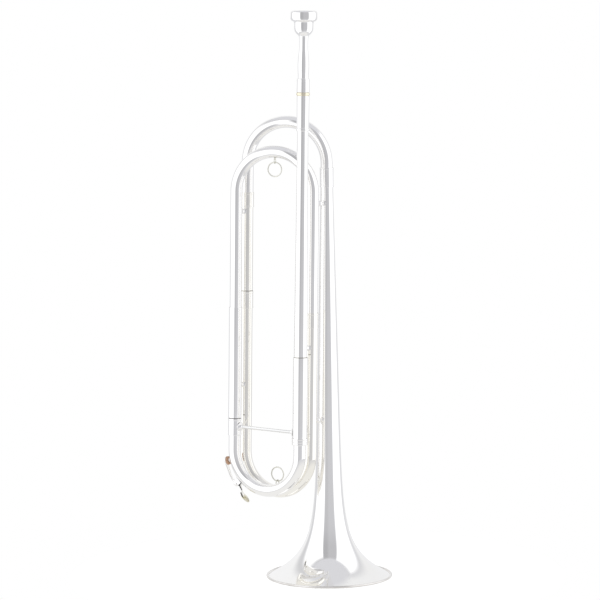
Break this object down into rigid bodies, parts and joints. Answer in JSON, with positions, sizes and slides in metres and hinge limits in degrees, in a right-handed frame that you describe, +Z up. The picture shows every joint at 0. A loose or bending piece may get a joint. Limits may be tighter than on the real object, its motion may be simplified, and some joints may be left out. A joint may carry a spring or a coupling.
{
  "type": "fanfare trumpet",
  "caption": "Valveless double-coiled fanfare trumpet in silver plate, standing on its bell, with a tuning slide, sprung water key, lift-out mouthpiece and loose cord rings.",
  "frame": {"origin": "centre of the footprint's bounding box, on the plane that the bell's rim stands on", "axes": "+Z up the bell's axis towards the mouthpiece, +X from the left tubes to the right ones, +Y from the mouthpipe's side to the bell's side"},
  "size_m": [0.1639, 0.1328, 0.5942],
  "materials": {
    "silver_plate": "silver plate, mirror polished",
    "silver_trim": "silver plate, polished, slightly softer on small soldered parts",
    "gilt_ring": "polished brass",
    "cork": "natural cork, matt",
    "spring_steel": "blackened spring wire"
  },
  "bodies": {
    "trumpet_frame": {"bell": "silver_plate", "bell_brace_lower": "silver_trim", "bell_brace_upper": "silver_trim", "bell_ferrule": "silver_trim", "bell_rim_wire": "silver_trim", "bottom_ring_eyelet": "silver_trim", "front_top_bow": "silver_plate", "left_brace_lower": "silver_trim", "left_brace_upper": "silver_trim", "middle_right_ferrule": "silver_trim", "mouthpiece_receiver": "silver_plate", "mouthpipe": "silver_plate", "mouthpipe_brace": "silver_trim", "rear_bottom_bow": "silver_plate", "rear_left_lower_ferrule": "silver_trim", "rear_left_tube": "silver_plate", "rear_left_upper_ferrule": "silver_trim", "rear_top_bow": "silver_plate", "receiver_ring": "gilt_ring", "slide_sleeve": "silver_plate", "top_ring_eyelet": "silver_trim"},
    "tuning_slide": {"slide_bow": "silver_plate", "slide_inner_leg": "silver_plate", "slide_outer_leg": "silver_plate", "slide_left_ferrule": "silver_trim", "slide_right_ferrule": "silver_trim", "slide_brace_rod": "silver_plate", "slide_brace_foot_left": "silver_trim", "slide_brace_foot_right": "silver_trim", "key_saddle": "silver_trim", "drain_nipple": "silver_trim", "key_pivot_screw": "silver_trim", "key_spring": "spring_steel"},
    "water_key": {"key_lever": "silver_trim", "key_cork": "cork"},
    "mouthpiece": {"mouthpiece": "silver_plate"},
    "top_cord_ring": {"top_ring": "silver_plate"},
    "bottom_cord_ring": {"bottom_ring": "silver_plate"}
  },
  "joints": [
    {"name": "slide_pull", "type": "slide", "parent": "trumpet_frame", "child": "tuning_slide", "axis": [-0.0134, -0.011, -0.9998], "range_m": [0, 0.05]},
    {"name": "water_key_hinge", "type": "hinge", "parent": "tuning_slide", "child": "water_key", "pos_m": [-0.06541, -0.05031, 0.09907], "axis": [0.0001, -0.9999, 0.011], "range_deg": [0, 12], "stiffness_Nm_per_rad": 0.02, "springref_deg": -28.65, "deforming": ["key_spring"]},
    {"name": "mouthpiece_pull", "type": "slide", "parent": "trumpet_frame", "child": "mouthpiece", "axis": [0.0134, 0.011, 0.9998], "range_m": [0, 0.03]},
    {"name": "top_ring_swing", "type": "hinge", "parent": "trumpet_frame", "child": "top_cord_ring", "pos_m": [-0.02497, -0.03618, 0.43736], "axis": [0.9685, 0.2487, -0.0158], "range_deg": [-70, 70]},
    {"name": "bottom_ring_swing", "type": "hinge", "parent": "trumpet_frame", "child": "bottom_cord_ring", "pos_m": [-0.02949, -0.02947, 0.10158], "axis": [0.9999, 0, -0.0134], "range_deg": [-75, 75]}
  ]
}
